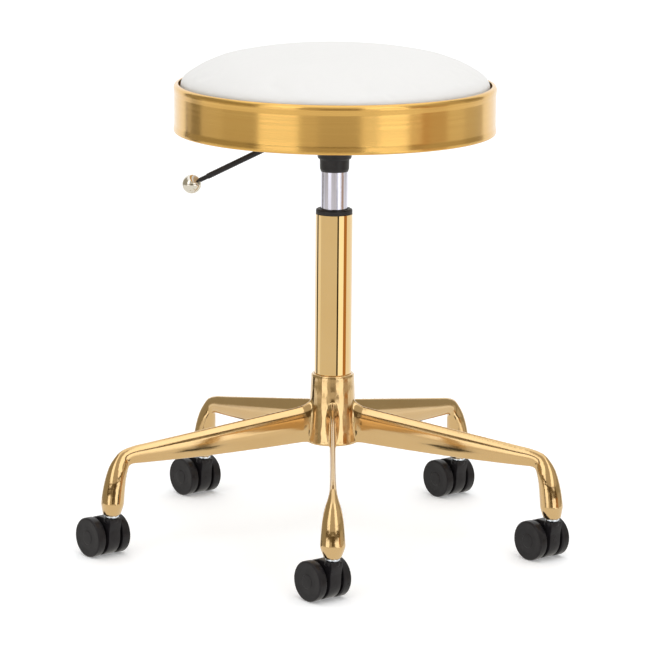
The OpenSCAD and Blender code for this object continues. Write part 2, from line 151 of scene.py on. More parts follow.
def sweep(bm, points, radii, sides=32):
    """Sweeps a round section along points that lie in the XZ plane, with closed ends."""
    rings = []
    across = Vector((0, 1, 0))
    turns = [2 * math.pi * k / sides for k in range(sides)]
    for i, (point, radius) in enumerate(zip(points, radii)):
        ahead = points[min(i + 1, len(points) - 1)] - points[max(i - 1, 0)]
        up = ahead.normalized().cross(across)
        spokes = [(across * math.cos(a) + up * math.sin(a)) * radius for a in turns]
        rings.append([bm.verts.new(point + spoke) for spoke in spokes])
    for ring, other in zip(rings, rings[1:]):
        for k in range(sides):
            k2 = (k + 1) % sides
            bm.faces.new((ring[k], ring[k2], other[k2], other[k]))
    bm.faces.new(rings[0])
    bm.faces.new(rings[-1])


def shade(obj, sharp):
    """Shades obj smooth except where its faces meet at more than sharp degrees."""
    obj.data.shade_smooth()
    obj.data.set_sharp_from_angle(angle=math.radians(sharp))


def bevel_edges(obj, size, segments=3, angle=30):
    """Rounds the edges of obj that are sharper than angle."""
    bevel = obj.modifiers.new("bevel", "BEVEL")
    bevel.width = size
    bevel.segments = segments
    bevel.limit_method = "ANGLE"
    bevel.angle_limit = math.radians(angle)
    apply_modifiers(obj)
    shade(obj, EDGE_SHARP)


def prism(bm, outline, y0, y1, place=Matrix.Identity(4)):
    """Adds an (x, z) outline extruded from y0 to y1."""
    near = [bm.verts.new(place @ Vector((x, y0, z))) for x, z in outline]
    far = [bm.verts.new(place @ Vector((x, y1, z))) for x, z in outline]
    bm.faces.new(near)
    bm.faces.new(list(reversed(far)))
    for k in range(len(outline)):
        k2 = (k + 1) % len(outline)
        bm.faces.new((near[k2], near[k], far[k], far[k2]))


def apply_modifiers(obj):
    """Bakes the modifiers of obj into its mesh."""
    bpy.context.view_layer.update()
    graph = bpy.context.evaluated_depsgraph_get()
    mesh = bpy.data.meshes.new_from_object(obj.evaluated_get(graph))
    obj.modifiers.clear()
    obj.data = mesh


def remesh_evenly(obj, size):
    """Rebuilds the surface of obj from voxels of the given size."""
    remesh = obj.modifiers.new("remesh", "REMESH")
    remesh.mode = "VOXEL"
    remesh.voxel_size = size
    remesh.use_smooth_shade = True
    apply_modifiers(obj)


def add_smoothing(obj, rounds):
    """Adds a modifier that evens out the surface of obj."""
    smooth = obj.modifiers.new("smooth", "SMOOTH")
    smooth.factor = 0.5
    smooth.iterations = rounds


def finish_piece(obj, body, slot, *nodes):
    """Puts a finished piece on its body, in the place of the CAD nodes it stands for."""
    obj.data.materials.clear()
    obj.data.materials.append(MATERIALS[slot])
    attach(obj, body)
    if nodes:
        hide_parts(*nodes)


# ---- Material helpers ----

class Nodes:
    """Short hand for building a material's node tree."""

    def __init__(self, name):
        self.material = bpy.data.materials.new(name)
        self.material.use_nodes = True
        self.tree = self.material.node_tree
        self.shader = self.tree.nodes["Principled BSDF"]

    def add(self, kind, **settings):
        """A new node. Each setting is an attribute of the node or, if it has none, one of its inputs."""
        node = self.tree.nodes.new(kind)
        for key, value in settings.items():
            if hasattr(node, key):
                setattr(node, key, value)
            else:
                node.inputs[key.replace("_", " ")].default_value = value
        return node

    def link(self, a, b):
        self.tree.links.new(a, b)

    def set(self, **values):
        """Sets inputs of the shader that are the same all over the surface."""
        for key, value in values.items():
            self.shader.inputs[key.replace("_", " ")].default_value = value

    def position(self, scale=(1, 1, 1)):
        """Object coordinates stretched by scale."""
        coords = self.add("ShaderNodeTexCoord")
        mapping = self.add("ShaderNodeMapping")
        mapping.inputs["Scale"].default_value = scale
        self.link(coords.outputs["Object"], mapping.inputs["Vector"])
        return mapping.outputs["Vector"]

    def noise(self, vector, scale, detail=4, roughness=0.55):
        node = self.add("ShaderNodeTexNoise", Scale=scale, Detail=detail, Roughness=roughness)
        self.link(vector, node.inputs["Vector"])
        return node.outputs["Fac"]

    def remap(self, value, lo, hi, from_lo=0.25, from_hi=0.75):
        """Stretches the middle of a noise over lo to hi."""
        node = self.add("ShaderNodeMapRange")
        for key, number in zip(("From Min", "From Max", "To Min", "To Max"), (from_lo, from_hi, lo, hi)):
            node.inputs[key].default_value = number
        self.link(value, node.inputs["Value"])
        return node.outputs["Result"]

    def mix(self, fac, a, b):
        node = self.add("ShaderNodeMix", data_type="RGBA")
        self.link(fac, node.inputs["Factor"])
        node.inputs["A"].default_value = (*a, 1)
        node.inputs["B"].default_value = (*b, 1)
        return node.outputs["Result"]

    def bump(self, height, distance, strength=1.0, normal=None):
        node = self.add("ShaderNodeBump", Strength=strength, Distance=distance)
        self.link(height, node.inputs["Height"])
        if normal is not None:
            self.link(normal, node.inputs["Normal"])
        return node.outputs["Normal"]

    def tint(self, fac, color, deep):
        """Shades the surface from color to deep."""
        self.link(self.mix(self.remap(fac, 0, 1), color, deep), self.shader.inputs["Base Color"])

    def smear(self, fac, lo, hi):
        """Varies the roughness from lo to hi."""
        self.link(self.remap(fac, lo, hi), self.shader.inputs["Roughness"])

    def relief(self, normal):
        """Gives the surface the normal of a bump."""
        self.link(normal, self.shader.inputs["Normal"])


def polished_metal(name, color, deep, rough, wave=0.02 * MM, wave_scale=45, coat=0.0):
    """Polished plate: faint waviness, smears in the gloss and a slow shift of colour."""
    m = Nodes(name)
    where = m.position()
    m.set(Metallic=1.0, Coat_Weight=coat, Coat_Roughness=0.03)
    m.tint(m.noise(where, scale=14, detail=3), color, deep)
    m.smear(m.noise(where, scale=60, detail=5), rough * 0.75, rough * 1.35)
    waves = m.bump(m.noise(where, wave_scale, detail=1), wave)
    m.relief(m.bump(m.noise(where, scale=2600, detail=2), 0.002 * MM, 0.5, waves))
    return m.material


def cast_metal(name, color, deep, rough):
    """Polished and plated casting: linishing marks, a slightly uneven surface and duller patches."""
    m = Nodes(name)
    where = m.position()
    m.set(Metallic=1.0, Coat_Weight=1.0, Coat_Roughness=0.05)
    m.tint(m.noise(where, scale=22, detail=4), color, deep)
    m.smear(m.noise(where, scale=38, detail=6, roughness=0.65), rough * 0.75, rough * 1.4)
    uneven = m.bump(m.noise(where, scale=30, detail=2), 0.04 * MM)
    marks = m.noise(m.position((160, 160, 1700)), scale=1.0, detail=3, roughness=0.6)
    m.relief(m.bump(marks, 0.005 * MM, normal=uneven))
    return m.material


def brushed_metal(name, color, deep, rough, streaks, pitch):
    """Satin plate brushed round the Z axis: long streaks one pitch apart."""
    m = Nodes(name)
    m.set(Metallic=1.0, Anisotropic=0.8, Anisotropic_Rotation=0.25, Coat_Weight=0.4, Coat_Roughness=0.2)
    tangent = m.add("ShaderNodeTangent", direction_type="RADIAL", axis="Z")
    m.link(tangent.outputs["Tangent"], m.shader.inputs["Tangent"])
    fine_grid = m.position((streaks, streaks, 1 / pitch))
    coarse_grid = m.position((streaks / 2, streaks / 2, 0.18 / pitch))
    fine = m.noise(fine_grid, scale=1.0, detail=3, roughness=0.7)
    coarse = m.noise(coarse_grid, scale=1.0, detail=2, roughness=0.5)
    m.tint(fine, color, deep)
    m.smear(coarse, rough * 0.8, rough * 1.25)
    m.relief(m.bump(fine, 0.005 * MM, normal=m.bump(coarse, 0.01 * MM, 0.6)))
    return m.material


def drawn_metal(name, color, deep, rough):
    """Ground tube: fine scratches along Z that break up a mirror."""
    m = Nodes(name)
    m.set(Metallic=1.0)
    scratches = m.noise(m.position((900, 900, 14)), scale=1.0, detail=3, roughness=0.6)
    m.tint(scratches, color, deep)
    m.smear(scratches, rough * 0.7, rough * 1.6)
    m.relief(m.bump(scratches, 0.004 * MM))
    return m.material


def plastic(name, color, rough, grain=0.04 * MM, grain_scale=900, coat=0.0, gloss=0.3):
    """Moulded plastic or paint: fine texture, uneven gloss, faint scuffs."""
    m = Nodes(name)
    where = m.position()
    m.set(Metallic=0.0, Coat_Weight=coat, Coat_Roughness=0.12, Specular_IOR_Level=gloss)
    scuffed = tuple(min(1, c * 1.6 + 0.004) for c in color)
    m.tint(m.noise(where, scale=120, detail=6), color, scuffed)
    m.smear(m.noise(where, scale=70, detail=6, roughness=0.7), rough * 0.8, rough * 1.3)
    m.relief(m.bump(m.noise(where, grain_scale, detail=3), grain, 0.35))
    return m.material


def leather(name, color, deep):
    """Soft white faux leather: a fine pebbled grain with slack and tight patches."""
    m = Nodes(name)
    where = m.position()
    m.set(Metallic=0.0, Coat_Weight=0.04, Coat_Roughness=0.4, Specular_IOR_Level=0.35)
    m.tint(m.noise(where, scale=9, detail=4), color, deep)
    m.smear(m.noise(where, scale=160, detail=4), 0.42, 0.56)
    pebble = m.add("ShaderNodeTexVoronoi", feature="F1", Scale=900)
    m.link(where, pebble.inputs["Vector"])
    pebbled = m.bump(pebble.outputs["Distance"], 0.05 * MM, 0.2)
    m.relief(m.bump(m.noise(where, scale=14, detail=2), 0.3 * MM, 0.1, pebbled))
    return m.material


def wood(name, color, deep):
    """Bare plywood: grain along X that shades the colour and the gloss."""
    m = Nodes(name)
    m.set(Metallic=0.0)
    grain = m.noise(m.position((6, 90, 90)), scale=1.0, detail=6, roughness=0.6)
    m.tint(grain, color, deep)
    m.smear(grain, 0.55, 0.75)
    m.relief(m.bump(grain, 0.2 * MM, 0.4))
    return m.material


# Where two colours are given, the surface drifts from the one to the other.
TUBE_GOLD = (0.80, 0.555, 0.24), (0.77, 0.515, 0.205)
CAST_GOLD = (0.70, 0.475, 0.215), (0.66, 0.43, 0.18)
BAND_GOLD = (0.84, 0.52, 0.15), (0.76, 0.44, 0.11)
CHROME = (0.74, 0.73, 0.84), (0.66, 0.65, 0.76)
STEEL = (0.60, 0.60, 0.63), (0.48, 0.48, 0.51)
ZINC = (0.86, 0.92, 1.0), (0.78, 0.84, 0.95)
NICKEL = (0.80, 0.76, 0.69), (0.72, 0.67, 0.58)
VINYL = (0.80, 0.80, 0.805), (0.785, 0.785, 0.79)
PLY = (0.62, 0.45, 0.27), (0.42, 0.27, 0.14)
NYLON_BLACK = (0.009, 0.008, 0.0095)
ACETAL_BLACK = (0.018, 0.016, 0.017)
PAINT_BLACK = (0.014, 0.013, 0.014)
RUBBER_BLACK = (0.020, 0.020, 0.020)
FOAM_CREAM = (0.80, 0.74, 0.58)
MATERIALS = {
    "polished_gold": cast_metal("polished_gold", *CAST_GOLD, rough=0.11),
    "gold_tube": polished_metal(
        "gold_tube", *TUBE_GOLD, rough=0.035, wave=0.004 * MM, wave_scale=20, coat=1.0),
    "brushed_gold": brushed_metal("brushed_gold", *BAND_GOLD, rough=0.21, streaks=5, pitch=0.5 * MM),
    "chrome_steel": drawn_metal("chrome_steel", *CHROME, rough=0.10),
    "steel": polished_metal("steel", *STEEL, rough=0.28),
    "zinc": polished_metal("zinc", *ZINC, rough=0.14),
    "polished_nickel": polished_metal("polished_nickel", *NICKEL, rough=0.08),
    "black_nylon": plastic(
        "black_nylon", NYLON_BLACK, rough=0.30, grain=0.03 * MM, grain_scale=700, coat=0.1, gloss=0.2),
    "black_plastic": plastic("black_plastic", ACETAL_BLACK, rough=0.42),
    "black_metal": plastic(
        "black_metal", PAINT_BLACK, rough=0.38, grain=0.05 * MM, grain_scale=1400, coat=0.05),
    "rubber": plastic("rubber", RUBBER_BLACK, rough=0.62),
    "foam": plastic("foam", FOAM_CREAM, rough=0.85, grain=0.3 * MM, grain_scale=500),
    "white_vinyl": leather("white_vinyl", *VINYL),
    "plywood": wood("plywood", *PLY),
}


def dress_cad_nodes():
    """Gives every CAD node the material of its slot."""
    slots = {p["node"]: p["material_slot"] for p in frame["record"]["subparts"]}
    for name, obj in frame["nodes"].items():
        obj.data.materials.clear()
        obj.data.materials.append(MATERIALS[slots[name]])


# ---- Seat ----

def make_band():
    """The band's beaded foot, waist, rolled-in top edge and inward flange, as one turned sheet."""
    lo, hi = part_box("trim_ring")
    out = width("trim_ring") / 2
    waist = out - 0.7 * MM
    sheet = 1.2 * MM
    inner = waist - sheet
    flange_r = out - 18 * MM
    flange_z = low("seat_cover").z - sheet
    bead = 1.7 * MM
    roll = 4 * MM
    roll_end = 104
    cut_edge = 0.35 * MM

    def curl(radius, degrees):
        """A point of the rolled-in edge, by its heading from the roll's centre."""
        a = math.radians(degrees)
        return (out - roll + radius * math.cos(a), hi.z - roll + radius * math.sin(a))

    outline = rounded([
        (flange_r, flange_z, 0.3 * MM),
        (inner - sheet, flange_z, 1.0 * MM),
        (out - 3.2 * MM, lo.z, 0.8 * MM),
        (out, lo.z, bead),
        (out, lo.z + 2 * bead, 2.0 * MM),
        (waist, lo.z + 2 * bead + 4.5 * MM, 14 * MM),
        (waist, hi.z - 2.6 * roll, 6 * MM),
        (out, hi.z - 1.35 * roll, 4 * MM),
        *(curl(roll, degrees) for degrees in range(0, 96, 6)),
        (*curl(roll, roll_end), cut_edge),
        (*curl(roll - sheet, roll_end), cut_edge),
        *(curl(roll - sheet, degrees) for degrees in range(90, -10, -10)),
        (inner, hi.z - 2.4 * roll, 5 * MM),
        (inner, flange_z + sheet, 1.5 * MM),
        (flange_r, flange_z + sheet, 0.3 * MM),
    ], steps=6)
    band = lathe("trim_band", outline, segments=288, sharp=60)
    finish_piece(band, "seat", "brushed_gold", "trim_ring")


def dome_outline(radius, shoulder_z, crown_z, bottom_z, steps=40):
    """Closed outline of the pad: dome, straight side, rounded foot and flat bottom."""
    rise = crown_z - shoulder_z
    foot = 3 * MM
    corner = 0.8 * MM
    points = [(0.0, bottom_z), (radius - foot, bottom_z), (radius - corner, bottom_z + corner)]
    points.append((radius, bottom_z + foot))
    for i in range(steps + 1):
        a = math.pi / 2 * i / steps
        points.append((radius * math.cos(a), shoulder_z + rise * math.sin(a)))
    return points


SIM_FRAMES = 20


def blow_up(obj, held_below):
    """Simulates obj as cloth under pressure from inside, with what lies below held_below held."""
    scene = bpy.context.scene
    group = obj.vertex_groups.new(name="held")
    group.add([v.index for v in obj.data.vertices if v.co.z < held_below], 1.0, "REPLACE")
    cloth = obj.modifiers.new("cloth", "CLOTH")
    cloth.settings.use_pressure = True
    cloth.settings.uniform_pressure_force = 4
    cloth.settings.quality = 5
    cloth.settings.mass = 0.3
    cloth.settings.tension_stiffness = 40
    cloth.settings.compression_stiffness = 40
    cloth.settings.bending_stiffness = 2
    cloth.settings.vertex_group_mass = "held"
    cloth.settings.effector_weights.gravity = 0
    scene.frame_start = 1
    scene.frame_end = SIM_FRAMES
    for number in range(1, SIM_FRAMES + 1):
        scene.frame_set(number)
    apply_modifiers(obj)
    scene.frame_set(1)


def inflate(obj, held_below):
    """Blows the pad up. The foam inside lets no point move far, and hardly any towards the pad's axis."""
    farthest = 5 * MM
    inward = 0.3 * MM
    rest = [v.co.copy() for v in obj.data.vertices]
    blow_up(obj, held_below)
    for vertex, start in zip(obj.data.vertices, rest):
        move = vertex.co - start
        outward = Vector((start.x, start.y, 0)).normalized()
        shrink = -move.dot(outward) - inward
        if shrink > 0:
            move += outward * shrink
        if move.length > farthest:
            move = move.normalized() * farthest
        vertex.co = start + move


def trim_cushion(pad, radius, foot_z, open_below, hem_r):
    """Opens the pad below inside its hem, and keeps it within the band and on the board."""
    bm = bmesh.new()
    bm.from_mesh(pad.data)
    centres = {face: face.calc_center_median() for face in bm.faces}
    under = [face for face, c in centres.items() if c.z < open_below and c.xy.length < hem_r]
    bmesh.ops.delete(bm, geom=under, context="FACES")
    for v in bm.verts:
        v.co.z = max(v.co.z, foot_z)
        reach = v.co.xy.length
        if reach > radius:
            v.co.x *= radius / reach
            v.co.y *= radius / reach
    bm.to_mesh(pad.data)
    bm.free()


def make_cushion():
    """The upholstered dome: a pad blown up by cloth simulation, opened below and given a thickness."""
    lo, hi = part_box("seat_cover")
    radius = width("seat_cover") / 2
    board_z = low("seat_board").z
    shoulder_z = high("trim_ring").z - 1.5 * MM
    swell = 1.9 * MM
    outline = dome_outline(radius - 0.2 * MM, shoulder_z, hi.z - swell, lo.z)
    held_below = board_z + 8 * MM
    open_below = board_z + 2 * MM
    hem_r = radius - 28 * MM
    pad = lathe("cushion", outline, segments=160)
    remesh_evenly(pad, 5 * MM)
    inflate(pad, held_below)
    subdivide = pad.modifiers.new("subdivide", "SUBSURF")
    subdivide.levels = 1
    add_smoothing(pad, 3)
    apply_modifiers(pad)
    trim_cushion(pad, radius, lo.z, open_below, hem_r)
    skin = pad.modifiers.new("skin", "SOLIDIFY")
    skin.thickness = 1.1 * MM
    skin.offset = -1
    apply_modifiers(pad)
    pad.data.shade_smooth()
    finish_piece(pad, "seat", "white_vinyl", "seat_cover")


def make_foam():
    """The moulded foam under the cover, clear of the cover's inside."""
    clear = 4 * MM
    radius = width("foam_pad") / 2 - clear
    shoulder_z = high("trim_ring").z - 3 * MM
    crown_z = high("foam_pad").z - clear
    foam = lathe("foam_core", dome_outline(radius, shoulder_z, crown_z, low("foam_pad").z))
    finish_piece(foam, "seat", "foam", "foam_pad")


# ---- Lift plate and column ----

SOCKET_BORE_R = 14.06 * MM
CYLINDER_PROUD = 2 * MM


def channel_z():
    """Height of the channel's underside, which the gas cylinder's top stands proud of."""
    return high("gas_cylinder").z - CYLINDER_PROUD


def make_lift_plate():
    """The pressed plate: rounded corners and a folded channel for the lever, open round the gas lift."""
    lo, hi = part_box("lift_plate")
    top = low("seat_board").z
    sheet = 2.5 * MM
    plate_z = top - sheet
    foot = channel_z()
    x0 = JOINTS["lever_lift"]["pos_m"][0] - 14 * MM
    x1 = 30 * MM
    half = 22 * MM
    inside = half - sheet * 0.9
    bm = bmesh.new()
    corners = [(hi.x, hi.y), (lo.x, hi.y), (lo.x, lo.y), (hi.x, lo.y)]
    outline = rounded([(x, y, 10 * MM) for x, y in corners], steps=8)
    flat = Matrix(((1, 0, 0, 0), (0, 0, 1, 0), (0, -1, 0, 0), (0, 0, 0, 1)))
    prism(bm, [(v[0], v[1]) for v in outline], -top, -plate_z, flat)
    wall = [(x0, foot), (x1, foot), (x1, plate_z), (x0, plate_z)]
    for side in (-1, 1):
        prism(bm, wall, side * half, side * (half - sheet))

    def channel_floor(from_x, to_x, from_y, to_y):
        ends = [(from_x, foot), (from_x, foot + sheet), (to_x, foot + sheet), (to_x, foot)]
        prism(bm, ends, from_y, to_y)

    channel_floor(x0, -SOCKET_BORE_R, -inside, inside)
    channel_floor(SOCKET_BORE_R, x1, -inside, inside)
    for side in (-1, 1):
        channel_floor(-SOCKET_BORE_R, SOCKET_BORE_R, side * SOCKET_BORE_R, side * inside)
    plate = new_object("lift_plate_pressing", bm)
    bevel_edges(plate, 0.7 * MM, segments=2)
    finish_piece(plate, "seat", "black_metal", "lift_plate")


def make_lift_socket():
    """The turned socket that hangs from the lift plate and grips the gas cylinder."""
    foot = low("lift_plate").z
    top = channel_z() + 0.3 * MM
    bore = SOCKET_BORE_R
    socket_r = 15.5 * MM
    collar_r = socket_r + 2.4 * MM
    collar_z = channel_z() - 9.1 * MM
    socket = lathe("lift_socket", rounded([
        (bore, foot + 1.2 * MM, 0.4 * MM),
        (bore + 0.5 * MM, foot, 0.3 * MM),
        (socket_r - 1.3 * MM, foot, 0.6 * MM),
        (socket_r - 0.2 * MM, foot + 2.6 * MM, 1.5 * MM),
        (socket_r, collar_z - 1.6 * MM, 1.0 * MM),
        (socket_r + 0.3 * MM, collar_z - 0.2 * MM, 0.4 * MM),
        (collar_r - 0.5 * MM, collar_z + 0.3 * MM, 0.5 * MM),
        (collar_r, collar_z + 1.8 * MM, 1.0 * MM),
        (collar_r, collar_z + 3.2 * MM, 0.9 * MM),
        (collar_r + 1.4 * MM, top, 2.0 * MM),
        (bore, top),
    ]))
    finish_piece(socket, "seat", "black_metal")


def make_guide_bush():
    """The acetal bush: a rim on the tube's end with a turned edge, and a sleeve inside."""
    rim_z = high("column_tube").z + 0.05 * MM
    top = high("guide_bush").z
    foot = low("guide_bush").z
    rim_r = width("guide_bush") / 2
    sleeve_r = width("column_tube") / 2 - 1.6 * MM
    bore = 14.08 * MM
    bush = lathe("bush", rounded([
        (bore, foot, 0.5 * MM),
        (sleeve_r, foot, 0.8 * MM),
        (sleeve_r, rim_z),
        (rim_r, rim_z, 0.5 * MM),
        (rim_r, top - 1.0 * MM, 0.9 * MM),
        (rim_r - 1.6 * MM, top, 0.6 * MM),
        (bore + 1.4 * MM, top, 0.6 * MM),
        (bore, top - 1.3 * MM, 0.5 * MM),
    ]))
    finish_piece(bush, "base", "black_plastic", "guide_bush")


# ---- Lever ----

LEVER_R = 3 * MM
NECK_R = LEVER_R - 0.6 * MM
NECK_LENGTH = 18 * MM
ROD_BEND = 18 * MM
SLEEVE_R = 5 * MM
PIN_BORE_R = 2.6 * MM


def lever_line():
    """Where the rod bends, which way it slopes from there, and the middle of its ball."""
    pivot = Vector(JOINTS["lever_lift"]["pos_m"])
    lo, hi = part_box("lever_knob")
    ball = (lo + hi) / 2
    corner = Vector((pivot.x - ROD_BEND, 0, pivot.z))
    return corner, (ball - corner).normalized(), ball


def make_lever_rod():
    """The bent rod with its pivot sleeve and its turned-down neck."""
    pivot = Vector(JOINTS["lever_lift"]["pos_m"])
    corner, slope, ball = lever_line()
    inner_end = Vector((high("lever_rod").x, 0, pivot.z))
    reach = 4 * MM
    bend_start = corner + Vector((reach, 0, 0))
    points = [inner_end, inner_end.lerp(corner, 0.5), bend_start]
    for k in range(1, 9):
        t = k / 8
        points.append(bend_start.lerp(corner, t).lerp(corner.lerp(corner + slope * reach, t), t))
    neck = ball - slope * NECK_LENGTH
    points += [corner.lerp(neck, 0.5), neck - slope * 0.6 * MM, neck, ball - slope * 6 * MM]
    radii = [LEVER_R] * (len(points) - 2) + [NECK_R, NECK_R]
    bm = bmesh.new()
    sweep(bm, points, radii, sides=40)
    half = (high("lever_rod").y - low("lever_rod").y) / 2
    sleeve = rounded([
        (PIN_BORE_R, -half, 0.3 * MM),
        (SLEEVE_R, -half, 0.7 * MM),
        (SLEEVE_R, half, 0.7 * MM),
        (PIN_BORE_R, half, 0.3 * MM),
    ], steps=4)
    place = Matrix.Translation(pivot) @ Matrix.Rotation(math.radians(90), 4, "X")
    add_lathe(bm, sleeve, segments=48, place=place)
    rod = new_object("lever_bar", bm, sharp=35)
    finish_piece(rod, "lever", "black_metal", "lever_rod")


def make_lever_ball():
    """The ball on the lever's end, with a small flat where the rod goes in."""
    radius = (high("lever_knob").y - low("lever_knob").y) / 2
    slope, ball = lever_line()[1:]
    steps = 64
    flat = math.radians(16)
    flat_z = -radius * math.cos(flat)
    outline = [(0, flat_z), (2.2 * MM, flat_z)]
    for k in range(steps):
        a = flat + (math.pi - flat) * k / steps
        outline.append((radius * math.sin(a), -radius * math.cos(a)))
    outline.append((0, radius))
    turn = slope.to_track_quat("Z", "Y").to_matrix().to_4x4()
    knob = lathe("lever_ball", outline, 96, Matrix.Translation(ball) @ turn, sharp=30)
    finish_piece(knob, "lever", "polished_nickel", "lever_knob")


# ---- Base ----

def make_star():
    """The cast star: the CAD form remeshed finely and smoothed, as a polished casting is."""
    source = frame["nodes"]["star_base"]
    bm = bmesh.new()
    bm.from_mesh(source.data)
    star = new_object("star_casting", bm)
    remesh_evenly(star, 0.9 * MM)
    add_smoothing(star, 4)
    apply_modifiers(star)
    star.data.shade_smooth()
    finish_piece(star, "base", "polished_gold", "star_base")


# ---- Casters ----

WHEEL_W = 11.4 * MM
AXLE_BORE_R = 3.1 * MM
BODY_W = 14.4 * MM
STEM_R = 5.5 * MM
PIVOT_R = 4 * MM
PIVOT_BORE_R = PIVOT_R + 0.06 * MM


def caster_place(k):
    """Frame at caster k's axle: +X away from the stem, +Y along the axle, +Z up."""
    axle = Vector(JOINTS[f"outer_wheel_spin_{k}"]["pos_m"])
    along = Vector(JOINTS[f"outer_wheel_spin_{k}"]["axis"]).normalized()
    place = Matrix((along.cross(Vector((0, 0, 1))), along, Vector((0, 0, 1)))).transposed().to_4x4()
    place.translation = axle
    return place


def make_wheel(k, side, label):
    """A moulded wheel: crowned tread, chamfered edge and a faintly dished face with a flat hub cap."""
    node = f"wheel_{label}_{k}"
    lo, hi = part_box(node)
    r = (hi.z - lo.z) / 2
    place = caster_place(k)
    middle = ((lo + hi) / 2 - place.translation).dot(place.col[1].xyz) * side
    inner = middle - WHEEL_W / 2
    outer = middle + WHEEL_W / 2
    cap = 3.0 * MM
    outline = rounded([
        (AXLE_BORE_R, inner, 0.2 * MM),
        (r - 6 * MM, inner, 0.5 * MM),
        (r - 5 * MM, inner + 1.4 * MM, 0.5 * MM),
        (r - 1.3 * MM, inner + 1.4 * MM, 0.6 * MM),
        (r - 0.15 * MM, inner + 2.5 * MM, 0.8 * MM),
        (r, middle + 0.4 * MM, 6 * MM),
        (r - 0.1 * MM, outer - 1.3 * MM, 0.35 * MM),
        (r - 1.0 * MM, outer - 0.25 * MM, 0.35 * MM),
        (r - 1.9 * MM, outer - 0.15 * MM, 0.5 * MM),
        (r * 0.62, outer - 0.45 * MM, 3 * MM),
        (r * 0.36, outer - 0.45 * MM, 0.3 * MM),
        (r * 0.34, outer, 0.3 * MM),
        (0.0, outer),
        (0.0, outer - cap),
        (AXLE_BORE_R, outer - cap),
    ])
    turn = Matrix.Rotation(math.radians(-90 * side), 4, "X")
    wheel = lathe(f"{label}_wheel_{k}", outline, 112, place @ turn, EDGE_SHARP)
    finish_piece(wheel, f"{label}_wheel_{k}", "black_nylon", node)


def make_caster_body(k):
    """The moulded web between the wheels: round as they are, with a throat and a boss for the stem."""
    place = caster_place(k)
    node = f"caster_body_{k}"
    top = high(node).z - place.translation.z
    stem_x = -(Vector(JOINTS[f"caster_swivel_{k}"]["pos_m"]).xy - place.translation.xy).length
    boss_r = BODY_W / 2 + 1 * MM
    boss_h = 5 * MM
    shoulder_x = stem_x - boss_r + 0.6 * MM
    throat_x = stem_x - PIVOT_R - 1.9 * MM
    web_r = high(f"wheel_outer_{k}").z - place.translation.z - 0.5 * MM
    arc_start = -178
    arc_end = 84
    steps = 72
    turns = [math.radians(arc_start + (arc_end - arc_start) * i / steps) for i in range(steps + 1)]
    arc = [(web_r * math.cos(a), web_r * math.sin(a)) for a in turns]
    head = rounded([
        arc[-1],
        (web_r * 0.02, top, 3 * MM),
        (shoulder_x, top, 1.2 * MM),
        (shoulder_x, top - boss_h, 6 * MM),
        (throat_x, 8 * MM, 9 * MM),
        arc[0],
    ], steps=6)
    outline = arc + [tuple(v) for v in head[1:-1]]
    bm = bmesh.new()
    prism(bm, outline, -BODY_W / 2, BODY_W / 2, place)
    body = new_object(f"caster_web_{k}", bm)
    bevel_edges(body, 0.9 * MM, angle=40)
    bm = bmesh.new()
    bm.from_mesh(body.data)
    boss = rounded([
        (PIVOT_BORE_R, top - boss_h, 0.2 * MM),
        (boss_r, top - boss_h, 1.5 * MM),
        (boss_r, top, 0.9 * MM),
        (PIVOT_BORE_R, top, 0.4 * MM),
    ], steps=4)
    add_lathe(bm, boss, 64, place @ Matrix.Translation(Vector((stem_x, 0, 0))))
    bm.to_mesh(body.data)
    bm.free()
    shade(body, EDGE_SHARP)
    finish_piece(body, f"caster_{k}", "black_nylon", node)


def make_stem(k):
    """The plated stem: pivot pin, turned collar and the shank pressed in the leg."""
    node = f"caster_stem_{k}"
    lo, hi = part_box(node)
    centre = (lo + hi) / 2
    flange_r = (hi.x - lo.x) / 2 - 0.7 * MM
    flange_top = low("star_base").z
    flange_low = flange_top - 2.9 * MM
    outline = rounded([
        (0.0, lo.z),
        (PIVOT_R, lo.z, 0.4 * MM),
        (PIVOT_R, flange_low, 0.2 * MM),
        (flange_r - 0.4 * MM, flange_low, 0.5 * MM),
        (flange_r, flange_low + 1.2 * MM, 0.7 * MM),
        (flange_r, flange_top - 0.7 * MM, 0.5 * MM),
        (flange_r - 0.6 * MM, flange_top, 0.3 * MM),
        (STEM_R, flange_top, 0.2 * MM),
        (STEM_R, hi.z - 1 * MM, 0.8 * MM),
        (STEM_R - 1 * MM, hi.z, 0.3 * MM),
        (0.0, hi.z),
    ], steps=4)
    stem = lathe(f"stem_{k}", outline, 64, Matrix.Translation(Vector((centre.x, centre.y, 0))))
    finish_piece(stem, "base", "zinc", node)


# ---- Surroundings ----

# Metres from the column's axis and above the floor, then degrees, then the lens in millimetres.
CAMERA_DISTANCE = 3.788
CAMERA_HEIGHT = 0.9955
CAMERA_TURN = 0.35
CAMERA_PITCH = 11.33
CAMERA_PAN = -0.17
CAMERA_ROLL = 0.47
CAMERA_LENS = 204.85
SENSOR_WIDTH = 36
FAR_CLIP = 80


